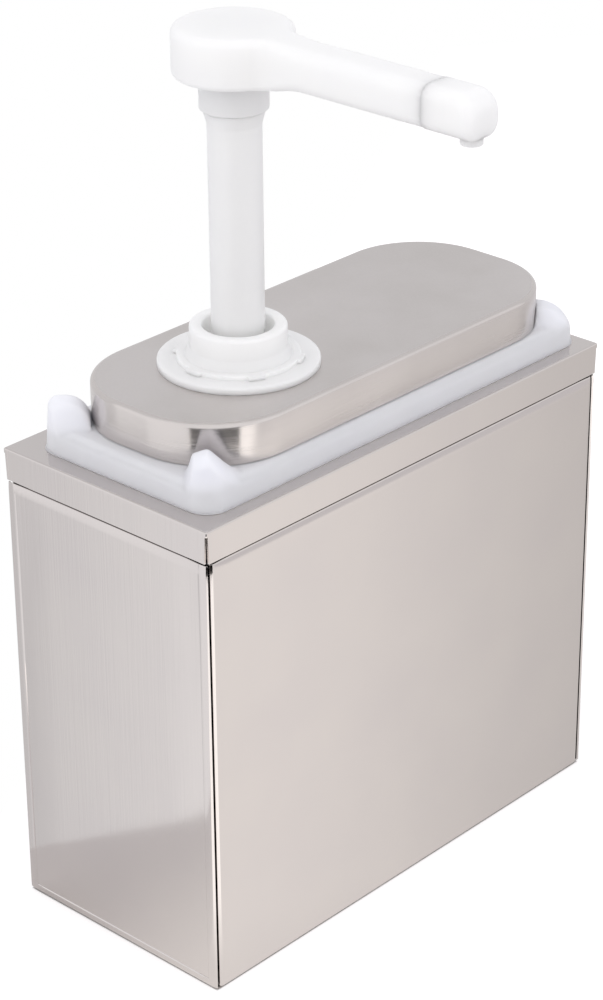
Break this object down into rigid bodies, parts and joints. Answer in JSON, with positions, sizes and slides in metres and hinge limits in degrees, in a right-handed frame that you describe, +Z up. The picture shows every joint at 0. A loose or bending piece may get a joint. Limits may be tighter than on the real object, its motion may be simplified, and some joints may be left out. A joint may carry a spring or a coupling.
{
  "type": "sauce dispenser",
  "caption": "Counter-top sauce dispenser: folded steel casing, lift-out white jar, drawn steel lid and a sprung hand pump with a swivelling spout.",
  "frame": {"origin": "middle of the casing's resting face", "axes": "+Z up; +X along the casing's long side, away from the pump's end; the spout points to -Y at rest"},
  "size_m": [0.2406, 0.18, 0.378],
  "materials": {
    "casing_steel": "satin folded stainless sheet",
    "lid_steel": "satin drawn stainless sheet with a polished edge",
    "jar_polyethylene": "translucent white moulded polyethylene",
    "pump_polypropylene": "white moulded polypropylene, satin",
    "seal_rubber": "grey food-grade silicone",
    "ball_steel": "polished stainless ball",
    "spring_steel": "drawn stainless wire"
  },
  "bodies": {
    "casing": {"base_plate": "casing_steel", "near_side_panel": "casing_steel", "far_side_panel": "casing_steel", "left_end_panel": "casing_steel", "right_end_panel": "casing_steel", "top_collar": "casing_steel"},
    "jar": {"food_jar": "jar_polyethylene"},
    "lid": {"lid_shell": "lid_steel", "cylinder_gasket": "seal_rubber", "pump_cylinder": "pump_polypropylene", "lock_nut": "pump_polypropylene", "wiper_seal": "seal_rubber", "foot_valve": "pump_polypropylene", "foot_seal": "seal_rubber", "inlet_ball_cage": "pump_polypropylene", "dip_tube": "pump_polypropylene", "return_spring": "spring_steel"},
    "inlet_ball": {"inlet_ball": "ball_steel"},
    "plunger": {"piston": "pump_polypropylene", "piston_seals": "seal_rubber"},
    "outlet_ball": {"outlet_ball": "ball_steel"},
    "head": {"stem": "pump_polypropylene", "outlet_ball_cage": "pump_polypropylene", "pump_head": "pump_polypropylene", "spout_cap": "pump_polypropylene"}
  },
  "joints": [
    {"name": "jar_lift", "type": "slide", "parent": "casing", "child": "jar", "axis": [0, 0, 1], "range_m": [0, 0.205]},
    {"name": "lid_lift", "type": "slide", "parent": "jar", "child": "lid", "axis": [0, 0, 1], "range_m": [0, 0.212]},
    {"name": "pump_stroke", "type": "slide", "parent": "lid", "child": "plunger", "axis": [0, 0, -1], "range_m": [0, 0.09], "stiffness_N_per_m": 220, "springref_m": -0.05, "deforming": ["return_spring"]},
    {"name": "head_swivel", "type": "hinge", "parent": "plunger", "child": "head", "pos_m": [-0.0428, 0, 0.3], "axis": [0, 0, 1], "continuous": true},
    {"name": "inlet_ball_lift", "type": "slide", "parent": "lid", "child": "inlet_ball", "axis": [0, 0, 1], "range_m": [0, 0.003]},
    {"name": "outlet_ball_lift", "type": "slide", "parent": "plunger", "child": "outlet_ball", "axis": [0, 0, 1], "range_m": [0, 0.003]}
  ]
}
